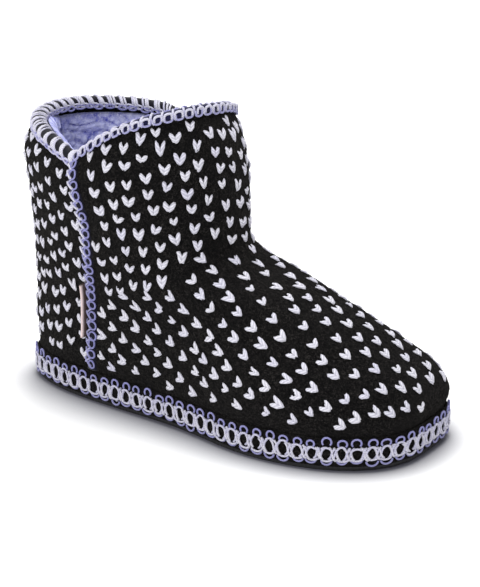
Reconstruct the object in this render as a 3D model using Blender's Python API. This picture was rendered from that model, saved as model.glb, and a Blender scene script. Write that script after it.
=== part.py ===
"""Knitted ankle bootie slipper for the right foot, empty and standing on its sole.

The upper is one hollow wall lofted through sections of the last. It stands on a foam
midsole with a thin outsole, a crocheted band wraps the sole, an insole lies inside, and
crocheted edging finishes the collar and both side seams.
X runs from heel to toe, Y towards the big toe, Z up. Sizes are in metres.
"""

from collections import namedtuple

import bmesh
import bpy
import numpy as np

# Sole
SOLE_LENGTH = 0.262
SOLE_LATERAL = 0.0546
SOLE_MEDIAL = 0.0505
TOE_SWING = 0.0170
TOE_POWER = 3.5
HEEL_POWER = 2.8
OUTSOLE_THICKNESS = 0.0024
OUTSOLE_INSET = 0.0010
MIDSOLE_TOP = 0.0182
TOE_SPRING = 0.0012
SPRING_START_SHARE = 0.45
ARCH_LIFT = 0.0015
ARCH_MIDDLE_SHARE = -0.12
ARCH_REACH_SHARE = 0.42
BAND_THICKNESS = 0.0016
BAND_TOP = 0.0192
INSOLE_THICKNESS = 0.0050
CLEARANCE = 0.0003
OUTSOLE_BEVEL = 0.0006
FOAM_EASING = 0.0010
BAND_EASING = 0.0005
INSOLE_EASING = 0.0012

# Upper
WALL = 0.0040
PANEL_OVERLAP = 0.0012
OVERLAP_FADE_SHARE = 0.16
THROAT_HEIGHT = 0.1030
SHAFT_DEPTH = 0.1445
SHAFT_WIDTH = 0.1000
COLLAR_FRONT = 0.1860
COLLAR_REAR = 0.1690
COLLAR_NOTCH = 0.1560

# Edging and label. The step's foot and lip are the distances from a side seam at which the
# upper's face goes from the heel panel's surface to the front panel's.
TRIM_HEIGHT = 0.0068
TRIM_LIP = 0.0014
REAR_INNER_LIP = 0.0038
SIDE_TRIM_WIDTH = 0.0075
SIDE_TRIM_THICKNESS = 0.0015
STEP_FOOT = 0.0009
STEP_LIP = 0.0004
LABEL_HEIGHT = 0.0350
LABEL_DEPTH = 0.0050
LABEL_THICKNESS = 0.0012
LABEL_CENTRE = 0.0585

HALF_LENGTH = SOLE_LENGTH / 2
UPPER_BASE = MIDSOLE_TOP + CLEARANCE
FEATHER_INSET = BAND_THICKNESS + 2 * CLEARANCE

# Half widths of the sole as shares of its greatest half width on that side.
# Columns: station (-1 heel end, 1 toe end), little toe side, big toe side.
SOLE_STATIONS = np.array((
    (-1.00, 0.600, 0.760),
    (-0.75, 0.635, 0.790),
    (-0.40, 0.645, 0.770),
    (0.00, 0.716, 0.800),
    (0.35, 0.905, 0.920),
    (0.60, 0.975, 0.980),
    (0.80, 1.000, 1.000),
    (1.00, 0.990, 1.000),
))

# Sections of the foot above the feather line, each a slice that tilts up from heel to vamp.
# Columns: rise at the heel and at the vamp (shares of the way from the feather line to the
# throat), heel end (share of the half length), reach (share of the way from the shaft's
# front to the toe), little toe side and big toe side (shares of the sole's half widths),
# follow (how far the slice keeps the sole's outline), front power, back power,
# swing (share of the toe's swing), seam (share of the half length).
FOOT_ROWS = (
    (0.136, 0.136, -0.975, 1.000, 1.000, 1.000, 1.0, 3.4, 2.80, 1.0, -0.545),
    (0.280, 0.300, -0.988, 0.945, 0.985, 0.985, 1.0, 2.9, 2.75, 1.0, -0.535),
    (0.420, 0.455, -0.984, 0.812, 0.940, 0.960, 0.9, 2.5, 2.65, 0.9, -0.530),
    (0.560, 0.590, -0.982, 0.662, 0.900, 0.930, 0.8, 2.3, 2.55, 0.8, -0.525),
    (0.705, 0.770, -0.977, 0.392, 0.885, 0.930, 0.6, 2.2, 2.45, 0.6, -0.510),
    (0.850, 0.895, -0.970, 0.120, 0.855, 0.950, 0.4, 2.1, 2.35, 0.4, -0.500),
)

# Sections of the shaft.
# Columns: rise (share of the way from the throat to the collar's edge), heel end (share of
# the half length), front (share of the shaft's depth, from the sole's heel end), little toe
# side and big toe side (shares of half the shaft's width), follow, front power, back power,
# swing, seam.
SHAFT_ROWS = (
    (0.00, -0.970, 1.010, 0.920, 0.980, 0.2, 2.0, 2.2, 0.2, -0.490),
    (0.25, -0.976, 0.991, 0.950, 1.020, 0.1, 2.0, 2.1, 0.0, -0.480),
    (0.50, -0.977, 0.976, 1.000, 1.080, 0.0, 2.0, 2.1, 0.0, -0.490),
    (0.75, -0.975, 0.941, 1.020, 1.140, 0.0, 2.0, 2.1, 0.0, -0.505),
    (1.00, -0.897, 0.861, 0.940, 1.200, 0.0, 2.0, 2.0, 0.0, -0.500),
)
THROAT_LEVEL = len(FOOT_ROWS) + 1
TOP_LEVEL = THROAT_LEVEL + len(SHAFT_ROWS) - 1

# Height of the collar's edge. Columns: place round the collar (0 to 1 across the front panel
# from the little toe side, 1 to 2 round the heel), share of the way from the notch's height
# to that panel's greatest height.
FRONT_COLLAR = np.array((
    (0.00, 0.08),
    (0.06, 0.34),
    (0.12, 0.58),
    (0.20, 0.80),
    (0.30, 0.95),
    (0.41, 1.00),
    (0.54, 0.90),
    (0.66, 0.67),
    (0.80, 0.40),
    (0.92, 0.20),
    (1.00, 0.09),
))
REAR_COLLAR = np.array((
    (1.00, 0.24),
    (1.05, 0.45),
    (1.14, 0.62),
    (1.25, 0.75),
    (1.40, 0.93),
    (1.53, 1.00),
    (1.67, 0.95),
    (1.80, 0.76),
    (1.92, 0.38),
    (2.00, 0.00),
))

# Mesh columns round each panel, and half the width of the overlap's edge at a seam.
FRONT_COLUMNS = 44
REAR_COLUMNS = 22
FRONT_EDGE = 0.0015
REAR_EDGE = 0.0030
LEVELS_PER_SECTION = 2
FRONT_AROUND = np.linspace(FRONT_EDGE, 1 - FRONT_EDGE, FRONT_COLUMNS)
REAR_AROUND = np.linspace(1 + REAR_EDGE, 2 - REAR_EDGE, REAR_COLUMNS)
AROUND = np.concatenate((FRONT_AROUND, REAR_AROUND))

# Sizes of one slice: ends along X, half widths, follow, powers, swing, seam and inset.
Slice = namedtuple("Slice", "back front lateral medial follow front_power back_power swing seam inset")


def smooth(x, table, column):
    """Cubic Hermite curve through a table's rows, with the slope at each row taken from
    the parabola through the row and its neighbours."""
    xs, ys = table[:, 0], table[:, column]
    slopes = np.gradient(ys, xs)
    k = np.clip(np.searchsorted(xs, x) - 1, 0, len(xs) - 2)
    h = xs[k + 1] - xs[k]
    f = (x - xs[k]) / h
    start = (1 + 2 * f) * (1 - f) ** 2 * ys[k] + f * (1 - f) ** 2 * h * slopes[k]
    return start + f ** 2 * (3 - 2 * f) * ys[k + 1] + f ** 2 * (f - 1) * h * slopes[k + 1]


def plan_point(angle, part):
    """Point of a slice in plan: an oval whose cosine and sine are raised to two over its
    power. Its half width follows the sole's stations, and it swings to the big toe side
    with the square of its reach. The angle is 0 at the toe and grows to the big toe side."""
    c, s = np.cos(angle), np.sin(angle)
    power = 2 / np.where(c > 0, part.front_power, part.back_power)
    x = (part.back + part.front) / 2 + (part.front - part.back) / 2 * np.sign(c) * np.abs(c) ** power
    station = np.clip(x / HALF_LENGTH, -1, 1)
    little = part.lateral * (1 - part.follow + part.follow * smooth(station, SOLE_STATIONS, 1))
    big = part.medial * (1 - part.follow + part.follow * smooth(station, SOLE_STATIONS, 2))
    width = np.where(s < 0, little, big) - part.inset
    swing = TOE_SWING * part.swing * np.clip(station, 0, 1) ** 2
    return x, width * np.sign(s) * np.abs(s) ** power + swing


def sole_slice(inset):
    """The sole's outline, or one inside it."""
    end = HALF_LENGTH - inset
    return Slice(-end, end, SOLE_LATERAL, SOLE_MEDIAL, 1, TOE_POWER, HEEL_POWER, 1, -0.55, inset)


def toe_lift(x):
    """Toe spring: nothing up to its start, then rising to the toe as a parabola."""
    past = np.clip((x / HALF_LENGTH - SPRING_START_SHARE) / (1 - SPRING_START_SHARE), 0, None)
    return TOE_SPRING * past ** 2


def underside(x, y):
    """Height of the outsole's lower face: the toe spring, and a cosine hump for the arch
    that is full on the big toe side and a third of that on the other."""
    along = np.clip(np.abs(x / HALF_LENGTH - ARCH_MIDDLE_SHARE) / ARCH_REACH_SHARE, 0, 1)
    across = (2 + np.clip(y / SOLE_MEDIAL, -1, 1)) / 3
    return toe_lift(x) + ARCH_LIFT * across * (1 + np.cos(np.pi * along)) / 2


def collar_height(around):
    """Height of the collar's edge at each place round it."""
    front = COLLAR_NOTCH + (COLLAR_FRONT - COLLAR_NOTCH) * smooth(around, FRONT_COLLAR, 1)
    rear = COLLAR_NOTCH + (COLLAR_REAR - COLLAR_NOTCH) * smooth(around, REAR_COLLAR, 1)
    return np.where(around <= 1, front, rear)


def even_points(around, part):
    """Points of a slice that share out each panel's arc length evenly, where around runs
    from 0 to 1 across the front panel and on to 2 round the heel panel."""
    reach = (part.seam * HALF_LENGTH - (part.back + part.front) / 2) * 2 / (part.front - part.back)
    power = part.front_power if reach > 0 else part.back_power
    seam = np.arccos(np.sign(reach) * abs(reach) ** (power / 2))
    angles = np.zeros_like(around)
    for panel, first, last in ((0, -seam, seam), (1, seam, 2 * np.pi - seam)):
        fine = np.linspace(first, last, 241)
        x, y = plan_point(fine, part)
        length = np.append(0, np.cumsum(np.hypot(np.diff(x), np.diff(y))))
        inside = (around >= panel) & (around <= panel + 1)
        angles[inside] = np.interp((around[inside] - panel) * length[-1], length, fine)
    return plan_point(angles, part)


def section_points(around):
    """Points of every section, from the feather line to the collar's edge."""
    rise = THROAT_HEIGHT - UPPER_BASE
    shaft_front = SHAFT_DEPTH - HALF_LENGTH
    x, y = even_points(around, sole_slice(FEATHER_INSET))
    rows = [(x, y, np.full_like(x, UPPER_BASE))]
    for low, high, heel, reach, little, big, *rest in FOOT_ROWS:
        back, front = heel * HALF_LENGTH, shaft_front + reach * (HALF_LENGTH - shaft_front)
        x, y = even_points(around, Slice(back, front, little * SOLE_LATERAL, big * SOLE_MEDIAL, *rest, 0))
        share = low + (high - low) * (x - back) / (front - back)
        rows.append((x, y, UPPER_BASE + rise * share))
    edge = collar_height(around)
    for share, heel, depth, little, big, *rest in SHAFT_ROWS:
        back, front = heel * HALF_LENGTH, depth * SHAFT_DEPTH - HALF_LENGTH
        half = SHAFT_WIDTH / 2
        x, y = even_points(around, Slice(back, front, little * half, big * half, *rest, 0))
        rows.append((x, y, THROAT_HEIGHT + share * (edge - THROAT_HEIGHT)))
    return np.array(rows).transpose(0, 2, 1)


def last_surface(around, level):
    """Outer form of the upper: Catmull-Rom curves up through the sections. Level counts
    the sections from the feather line; around and level are arrays of one shape."""
    places, column = np.unique(around, return_inverse=True)
    rows = section_points(places)
    rows = np.concatenate((2 * rows[:1] - rows[1:2], rows, 2 * rows[-1:] - rows[-2:-1]))
    column = column.reshape(around.shape)
    k = np.clip(np.floor(level).astype(int), 0, TOP_LEVEL - 1)
    f = (level - k)[..., None]
    a, b, c, d = (rows[k + step, column] for step in range(4))
    point = b + 0.5 * f * (c - a) + f ** 2 * (a - 2.5 * b + 2 * c - 0.5 * d)
    point += f ** 3 * (1.5 * (b - c) + 0.5 * (d - a))
    point[..., 2] += toe_lift(point[..., 0]) * np.clip(1 - level / THROAT_LEVEL, 0, 1)
    return point


def surface_frame(around, level):
    """Point, direction along the section and outward normal of the upper's form."""
    first, last = np.where(around > 1, 1 + 1e-6, 0), np.where(around > 1, 2, 1)
    after = last_surface(np.clip(around + 0.004, first, last), level)
    before = last_surface(np.clip(around - 0.004, first, last), level)
    along = (after - before) / np.linalg.norm(after - before, axis=-1, keepdims=True)
    up = last_surface(around, level + 0.05) - last_surface(around, level - 0.05)
    normal = np.cross(along, up)
    return last_surface(around, level), along, normal / np.linalg.norm(normal, axis=-1, keepdims=True)


def flatten(normal):
    """The same direction laid level."""
    level = normal * (1, 1, 0)
    return level / np.linalg.norm(level, axis=-1, keepdims=True)


def panel_step(around):
    """How far the outer face lies under the last's form: the heel panel starts one overlap
    below the front panel at each seam and eases out to full size behind it."""
    behind = np.clip(np.minimum(around - 1, 2 - around) / OVERLAP_FADE_SHARE, 0, 1)
    return np.where(around > 1, PANEL_OVERLAP * (1 - behind ** 2 * (3 - 2 * behind)), 0.0)


def collar_level(around, drop):
    """Level that lies a given height below the collar's edge."""
    shaft = collar_height(around) - THROAT_HEIGHT
    return TOP_LEVEL - (TOP_LEVEL - THROAT_LEVEL) * drop / shaft


def add_object(name, vertices, faces, colour, roughness):
    """One closed solid as a named object with its own material."""
    mesh = bpy.data.meshes.new(name)
    mesh.from_pydata([tuple(v) for v in vertices], [], faces)
    solid = bmesh.new()
    solid.from_mesh(mesh)
    bmesh.ops.recalc_face_normals(solid, faces=solid.faces)
    solid.to_mesh(mesh)
    solid.free()
    mesh.shade_smooth()
    mesh.set_sharp_from_angle(angle=np.radians(40))
    material = bpy.data.materials.new(name)
    material.use_nodes = True
    shader = material.node_tree.nodes["Principled BSDF"]
    shader.inputs["Base Color"].default_value = (*colour, 1)
    shader.inputs["Roughness"].default_value = roughness
    shader.inputs["Metallic"].default_value = 0
    mesh.materials.append(material)
    item = bpy.data.objects.new(name, mesh)
    item.parent = centre
    slipper.objects.link(item)


def loft(rings, closed):
    """Quads between neighbouring rings of points. A closed loft joins its last ring to its
    first, and an open one is left open."""
    count, size = rings.shape[:2]
    faces = []
    for i in range(count if closed else count - 1):
        low, high = i * size, (i + 1) % count * size
        for j in range(size):
            k = (j + 1) % size
            faces.append((low + j, low + k, high + k, high + j))
    return faces


def add_strip(name, rings, colour, roughness):
    """A strip lofted through cross-sections, with both ends capped."""
    count, size = rings.shape[:2]
    faces = loft(rings, False)
    faces.append(tuple(range(size)))
    faces.append(tuple(range((count - 1) * size, count * size)))
    add_object(name, rings.reshape(-1, 3), faces, colour, roughness)


def add_slab(name, rim, low, high, colour, roughness):
    """A slab between two height functions. Rim lists the edge's rings from the bottom up as
    x, y and the share of the thickness; each face is three shrunk rings about a middle point,
    placed so that the forefoot has flat facets ahead of the arch."""
    shrinks = (0.74, 0.50, 0.34)
    rings = [(rim[0][0] * s, rim[0][1] * s, 0) for s in reversed(shrinks)]
    rings += list(rim)
    rings += [(rim[-1][0] * s, rim[-1][1] * s, 1) for s in shrinks]
    points = [np.stack((x, y, low(x, y) + (high(x, y) - low(x, y)) * share), -1)
              for x, y, share in rings]
    size = len(points[0])
    faces = loft(np.array(points), False)
    middle = [(0, 0, low(0, 0)), (0, 0, high(0, 0))]
    vertices = np.vstack(points + [middle])
    for start, centre_index in ((0, len(vertices) - 2), (len(vertices) - 2 - size, len(vertices) - 1)):
        for j in range(size):
            faces.append((start + j, start + (j + 1) % size, centre_index))
    add_object(name, vertices, faces, colour, roughness)


def sole_outline(inset):
    """Points along the sole's outline, or one inside it, in step with the upper's columns."""
    return even_points(AROUND, sole_slice(inset))


def foam_bottom(x, y):
    """Height at which the foam rests on the outsole."""
    return underside(x, y) + OUTSOLE_THICKNESS + CLEARANCE


def foam_top(x, y):
    """Height of the foam's upper face, which lifts with the toe."""
    return MIDSOLE_TOP + toe_lift(x)


def insole_top(x, y):
    """Height of the footbed."""
    return foam_top(x, y) + CLEARANCE + INSOLE_THICKNESS


def add_sole():
    """Outsole, foam midsole and the crocheted band that wraps the foam's side."""
    bevelled, full = sole_outline(OUTSOLE_INSET + OUTSOLE_BEVEL), sole_outline(OUTSOLE_INSET)
    add_slab("outsole", [(*bevelled, 0), (*full, 0.35), (*full, 1)], underside,
             lambda x, y: underside(x, y) + OUTSOLE_THICKNESS, (0.012, 0.012, 0.014), 0.85)
    foam = sole_outline(BAND_THICKNESS + CLEARANCE)
    eased = sole_outline(BAND_THICKNESS + CLEARANCE + FOAM_EASING)
    add_slab("midsole", [(*eased, 0), (*foam, 0.08), (*foam, 0.92), (*eased, 1)], foam_bottom,
             foam_top, (0.020, 0.020, 0.024), 0.9)
    rings = []
    for inset, share in ((BAND_THICKNESS, 0), (BAND_EASING, 0), (0, 0.2), (0, 0.8),
                         (BAND_EASING, 1), (BAND_THICKNESS, 1)):
        x, y = sole_outline(inset)
        bottom, top = foam_bottom(x, y), BAND_TOP + toe_lift(x)
        rings.append(np.stack((x, y, bottom + (top - bottom) * share), -1))
    rings = np.array(rings)
    add_object("sole_band", rings.reshape(-1, 3), loft(rings, True), (0.62, 0.60, 0.78), 0.9)


def add_upper():
    """The hollow wall of the upper, from the feather line to just under the collar's edging."""
    top = collar_level(AROUND, TRIM_HEIGHT)
    steps = np.arange(0, TOP_LEVEL - 0.6, 1 / LEVELS_PER_SECTION)
    last = steps[-1] + (top - steps[-1]) * 0.5
    level = np.vstack([np.full_like(AROUND, s) for s in steps] + [last, top])
    around = np.tile(AROUND, (len(level), 1))
    point, along, normal = surface_frame(around, level)
    normal[[0, -1]] = flatten(normal[[0, -1]])
    outer = point - normal * panel_step(around)[..., None]
    inner = point - normal * WALL
    for wall in (outer, inner):
        wall[0, :, 2] = UPPER_BASE + toe_lift(wall[0, :, 0])
        wall[-1, :, 2] = point[-1, :, 2]
    rings = np.concatenate((outer, inner[::-1]))
    add_object("upper", rings.reshape(-1, 3), loft(rings, True), (0.012, 0.012, 0.014), 0.95)


def add_insole():
    """Footbed that fills the upper's floor and follows its inner face up to its own top."""
    first_section = FOOT_ROWS[0][0] * (THROAT_HEIGHT - UPPER_BASE)
    rim = []
    for share, eased in ((0, 0), (0.6, 0), (1, INSOLE_EASING)):
        level = np.full_like(AROUND, share * INSOLE_THICKNESS / first_section)
        point, along, normal = surface_frame(AROUND, level)
        edge = point - flatten(normal) * (WALL + 2 * CLEARANCE + eased)
        rim.append((edge[:, 0], edge[:, 1], share))
    add_slab("insole", rim, lambda x, y: foam_top(x, y) + CLEARANCE, insole_top, (0.36, 0.38, 0.74), 0.95)


def add_collar_trim(name, around, inner_lip):
    """Crocheted edging that sits on the wall's top edge and hangs over it on both sides. At
    the back it also wraps the lining's pile, so it hangs further over inside."""
    point, along, normal = surface_frame(around, collar_level(around, TRIM_HEIGHT))
    outward = flatten(normal)
    face = panel_step(around)
    tall = TRIM_HEIGHT - CLEARANCE
    rings = []
    for out, height in ((0.6, 0), (1.0, 0.4), (0.5, 0.85), (-0.3, 1)):
        rings.append(point + outward * (out * TRIM_LIP - face)[:, None] + (0, 0, CLEARANCE + height * tall))
    for out, height in ((-0.3, 1), (0.5, 0.85), (1.0, 0.4), (0.6, 0)):
        rings.append(point - outward * (out * inner_lip + WALL) + (0, 0, CLEARANCE + height * tall))
    add_strip(name, np.array(rings).transpose(1, 0, 2), (0.60, 0.58, 0.76), 0.9)


def seam_points(side, heights, across, out):
    """Points over the upper's outer face beside a side seam, at given heights. Across is the
    distance from the seam, growing towards the toe, and out the distance off the face."""
    edge = {"lateral": (0.0, 2.0), "medial": (1.0, 1 + 1e-6)}[side][0 if across > 0 else 1]
    ladder = np.linspace(0, TOP_LEVEL, 400)
    level = np.interp(heights, last_surface(np.full_like(ladder, edge), ladder)[:, 2], ladder)
    turn = 0.01 if (side == "lateral") == (across > 0) else -0.01
    at_edge = np.full_like(level, edge)
    speed = np.linalg.norm(last_surface(at_edge + turn, level) - last_surface(at_edge, level), axis=-1)
    around = at_edge + turn * abs(across) / speed
    point, along, normal = surface_frame(around, level)
    return point + normal * (out - panel_step(around))[:, None]


def add_seam_strip(name, side, low, high, count, profile, colour, roughness):
    """A strip on a side seam between two heights. Profile lists its cross-section as
    pairs of distances across the seam and off the upper's face."""
    heights = np.linspace(low, high, count)
    rings = [seam_points(side, heights, across, out) for across, out in profile]
    add_strip(name, np.array(rings).transpose(1, 0, 2), colour, roughness)


def add_side_trim(side):
    """Crocheted edging down the edge of the front panel, over its step to the heel panel."""
    half, thick, step = SIDE_TRIM_WIDTH / 2, SIDE_TRIM_THICKNESS, PANEL_OVERLAP
    profile = ((-half, CLEARANCE), (-STEP_FOOT, CLEARANCE), (STEP_LIP, CLEARANCE), (half, CLEARANCE),
               (half, CLEARANCE + thick * 0.5), (half * 0.5, CLEARANCE + thick),
               (-half * 0.5, CLEARANCE + thick + step), (-half, CLEARANCE + thick * 0.5 + step))
    rear = collar_height(np.array([2.0 if side == "lateral" else 1 + 1e-6]))[0]
    add_seam_strip("side_trim_" + side, side, BAND_TOP + 2 * CLEARANCE,
                   rear - TRIM_HEIGHT - 2 * CLEARANCE, 20, profile, (0.55, 0.54, 0.74), 0.9)


def add_label():
    """Blank folded label caught behind the little toe side's seam edging."""
    front = -SIDE_TRIM_WIDTH / 2 - CLEARANCE
    back = front - LABEL_THICKNESS
    profile = ((back, CLEARANCE), (front, CLEARANCE), (front, LABEL_DEPTH), (back, LABEL_DEPTH))
    add_seam_strip("side_label", "lateral", LABEL_CENTRE - LABEL_HEIGHT / 2,
                   LABEL_CENTRE + LABEL_HEIGHT / 2, 4, profile, (0.10, 0.07, 0.06), 0.7)


for leftover in list(bpy.data.objects):
    bpy.data.objects.remove(leftover)

slipper = bpy.data.collections.new("bootie_slipper")
bpy.context.scene.collection.children.link(slipper)

centre = bpy.data.objects.new("bootie_slipper", None)
slipper.objects.link(centre)

add_sole()
add_upper()
add_insole()
add_collar_trim("collar_trim_front", FRONT_AROUND, TRIM_LIP)
add_collar_trim("collar_trim_rear", REAR_AROUND, REAR_INNER_LIP)
add_side_trim("lateral")
add_side_trim("medial")
add_label()

sides = [vertex.co.y for item in slipper.objects if item.type == "MESH" for vertex in item.data.vertices]
centre.location = (0, -(min(sides) + max(sides)) / 2, 0)
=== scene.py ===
"""Looks of the knitted bootie slipper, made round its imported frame.

X runs from heel to toe, Y towards the big toe, Z up. Sizes are in metres.
"""
from collections import namedtuple

import bpy
import mathutils
import numpy as np
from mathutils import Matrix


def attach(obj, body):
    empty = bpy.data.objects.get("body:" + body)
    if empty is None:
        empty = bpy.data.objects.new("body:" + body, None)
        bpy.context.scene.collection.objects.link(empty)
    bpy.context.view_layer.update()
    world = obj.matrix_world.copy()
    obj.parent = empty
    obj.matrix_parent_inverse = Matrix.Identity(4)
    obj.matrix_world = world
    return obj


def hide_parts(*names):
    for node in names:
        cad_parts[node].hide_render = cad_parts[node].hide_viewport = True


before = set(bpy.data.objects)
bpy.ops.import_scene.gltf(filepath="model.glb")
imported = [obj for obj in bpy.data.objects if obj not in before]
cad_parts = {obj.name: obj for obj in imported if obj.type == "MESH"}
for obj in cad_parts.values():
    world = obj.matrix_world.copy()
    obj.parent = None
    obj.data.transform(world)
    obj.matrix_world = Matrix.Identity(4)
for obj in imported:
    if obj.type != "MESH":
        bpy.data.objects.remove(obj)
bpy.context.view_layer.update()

# The upper's form: the last that the knitted panels are stretched over, as in the frame's
# hollow upper. The foot rises in tilted slices to a shaft that ends at the collar. Panels,
# lining, edging and sole band are all laid on it.
SOLE_LENGTH = 0.262
SOLE_LATERAL = 0.0546
SOLE_MEDIAL = 0.0505
TOE_SWING = 0.0170
TOE_POWER = 3.5
HEEL_POWER = 2.8
MIDSOLE_TOP = 0.0182
TOE_SPRING = 0.0012
SPRING_START_SHARE = 0.45
BAND_THICKNESS = 0.0016
CLEARANCE = 0.0003
WALL = 0.0040
PANEL_OVERLAP = 0.0012
OVERLAP_FADE_SHARE = 0.16
THROAT_HEIGHT = 0.1030
SHAFT_DEPTH = 0.1445
SHAFT_WIDTH = 0.1000
COLLAR_FRONT = 0.1860
COLLAR_REAR = 0.1690
COLLAR_NOTCH = 0.1560
TRIM_HEIGHT = 0.0068
SIDE_SHIFT = -0.00365
HALF_LENGTH = SOLE_LENGTH / 2
UPPER_BASE = MIDSOLE_TOP + CLEARANCE
FEATHER_INSET = BAND_THICKNESS + 2 * CLEARANCE

# Half widths of the sole as shares of its greatest half width on that side.
# Columns: station (-1 heel end, 1 toe end), little toe side, big toe side.
SOLE_STATIONS = np.array((
    (-1.00, 0.600, 0.760),
    (-0.75, 0.635, 0.790),
    (-0.40, 0.645, 0.770),
    (0.00, 0.716, 0.800),
    (0.35, 0.905, 0.920),
    (0.60, 0.975, 0.980),
    (0.80, 1.000, 1.000),
    (1.00, 0.990, 1.000),
))

# Sections of the foot. Columns: rise at the heel and at the vamp, heel end, reach, little toe
# side, big toe side, follow, front power, back power, swing, seam.
FOOT_ROWS = (
    (0.136, 0.136, -0.975, 1.000, 1.000, 1.000, 1.0, 3.4, 2.80, 1.0, -0.545),
    (0.280, 0.300, -0.988, 0.945, 0.985, 0.985, 1.0, 2.9, 2.75, 1.0, -0.535),
    (0.420, 0.455, -0.984, 0.812, 0.940, 0.960, 0.9, 2.5, 2.65, 0.9, -0.530),
    (0.560, 0.590, -0.982, 0.662, 0.900, 0.930, 0.8, 2.3, 2.55, 0.8, -0.525),
    (0.705, 0.770, -0.977, 0.392, 0.885, 0.930, 0.6, 2.2, 2.45, 0.6, -0.510),
    (0.850, 0.895, -0.970, 0.120, 0.855, 0.950, 0.4, 2.1, 2.35, 0.4, -0.500),
)

# Sections of the shaft. Columns: rise, heel end, depth, little toe side, big toe side, follow,
# front power, back power, swing, seam.
SHAFT_ROWS = (
    (0.00, -0.970, 1.010, 0.920, 0.980, 0.2, 2.0, 2.2, 0.2, -0.490),
    (0.25, -0.976, 0.991, 0.950, 1.020, 0.1, 2.0, 2.1, 0.0, -0.480),
    (0.50, -0.977, 0.976, 1.000, 1.080, 0.0, 2.0, 2.1, 0.0, -0.490),
    (0.75, -0.975, 0.941, 1.020, 1.140, 0.0, 2.0, 2.1, 0.0, -0.505),
    (1.00, -0.897, 0.861, 0.940, 1.200, 0.0, 2.0, 2.0, 0.0, -0.500),
)
THROAT_LEVEL = len(FOOT_ROWS) + 1
TOP_LEVEL = THROAT_LEVEL + len(SHAFT_ROWS) - 1

# Height of the collar's edge. Columns: place round the collar, share of that panel's height.
FRONT_COLLAR = np.array((
    (0.00, 0.08), (0.06, 0.34), (0.12, 0.58), (0.20, 0.80), (0.30, 0.95), (0.41, 1.00),
    (0.54, 0.90), (0.66, 0.67), (0.80, 0.40), (0.92, 0.20), (1.00, 0.09),
))
REAR_COLLAR = np.array((
    (1.00, 0.24), (1.05, 0.45), (1.14, 0.62), (1.25, 0.75), (1.40, 0.93),
    (1.53, 1.00), (1.67, 0.95), (1.80, 0.76), (1.92, 0.38), (2.00, 0.00),
))
Slice = namedtuple("Slice", "back front lateral medial follow front_power back_power swing seam inset")


def smooth(x, table, column):
    """Smooth curve through one column of a table, read at x in its first column."""
    xs, ys = table[:, 0], table[:, column]
    slopes = np.gradient(ys, xs)
    k = np.clip(np.searchsorted(xs, x) - 1, 0, len(xs) - 2)
    h = xs[k + 1] - xs[k]
    f = (x - xs[k]) / h
    start = (1 + 2 * f) * (1 - f) ** 2 * ys[k] + f * (1 - f) ** 2 * h * slopes[k]
    return start + f ** 2 * (3 - 2 * f) * ys[k + 1] + f ** 2 * (f - 1) * h * slopes[k + 1]


def bulge(value, power):
    """A sine or cosine raised to a power, with its own sign."""
    return np.sign(value) * np.abs(value) ** power


def plan_point(angle, part):
    """Point of a slice in plan: a squarish oval with the sole's half widths, swung to the big
    toe side with the square of its reach."""
    c, s = np.cos(angle), np.sin(angle)
    power = 2 / np.where(c > 0, part.front_power, part.back_power)
    x = (part.back + part.front) / 2 + (part.front - part.back) / 2 * bulge(c, power)
    station = np.clip(x / HALF_LENGTH, -1, 1)
    little = part.lateral * (1 - part.follow + part.follow * smooth(station, SOLE_STATIONS, 1))
    big = part.medial * (1 - part.follow + part.follow * smooth(station, SOLE_STATIONS, 2))
    width = np.where(s < 0, little, big) - part.inset
    swing = TOE_SWING * part.swing * np.clip(station, 0, 1) ** 2
    return x, width * bulge(s, power) + swing


def sole_slice(inset):
    """The sole's outline, or one inside it."""
    end = HALF_LENGTH - inset
    return Slice(-end, end, SOLE_LATERAL, SOLE_MEDIAL, 1, TOE_POWER, HEEL_POWER, 1, -0.55, inset)


def toe_lift(x):
    """Toe spring: nothing up to its start, then rising to the toe as a parabola."""
    past = np.clip((x / HALF_LENGTH - SPRING_START_SHARE) / (1 - SPRING_START_SHARE), 0, None)
    return TOE_SPRING * past ** 2


def collar_height(around):
    """Height of the collar's edge at each place round it."""
    front = COLLAR_NOTCH + (COLLAR_FRONT - COLLAR_NOTCH) * smooth(around, FRONT_COLLAR, 1)
    rear = COLLAR_NOTCH + (COLLAR_REAR - COLLAR_NOTCH) * smooth(around, REAR_COLLAR, 1)
    return np.where(around <= 1, front, rear)


def even_points(around, part):
    """Points of a slice that share out each panel's arc length evenly, where around runs
    from 0 to 1 across the front panel and on to 2 round the heel panel."""
    reach = (part.seam * HALF_LENGTH - (part.back + part.front) / 2) * 2 / (part.front - part.back)
    power = part.front_power if reach > 0 else part.back_power
    seam = np.arccos(bulge(reach, power / 2))
    angles = np.zeros_like(around)
    for panel, first, last in ((0, -seam, seam), (1, seam, 2 * np.pi - seam)):
        fine = np.linspace(first, last, 241)
        x, y = plan_point(fine, part)
        length = np.append(0, np.cumsum(np.hypot(np.diff(x), np.diff(y))))
        inside = (around >= panel) & (around <= panel + 1)
        angles[inside] = np.interp((around[inside] - panel) * length[-1], length, fine)
    return plan_point(angles, part)


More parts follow.
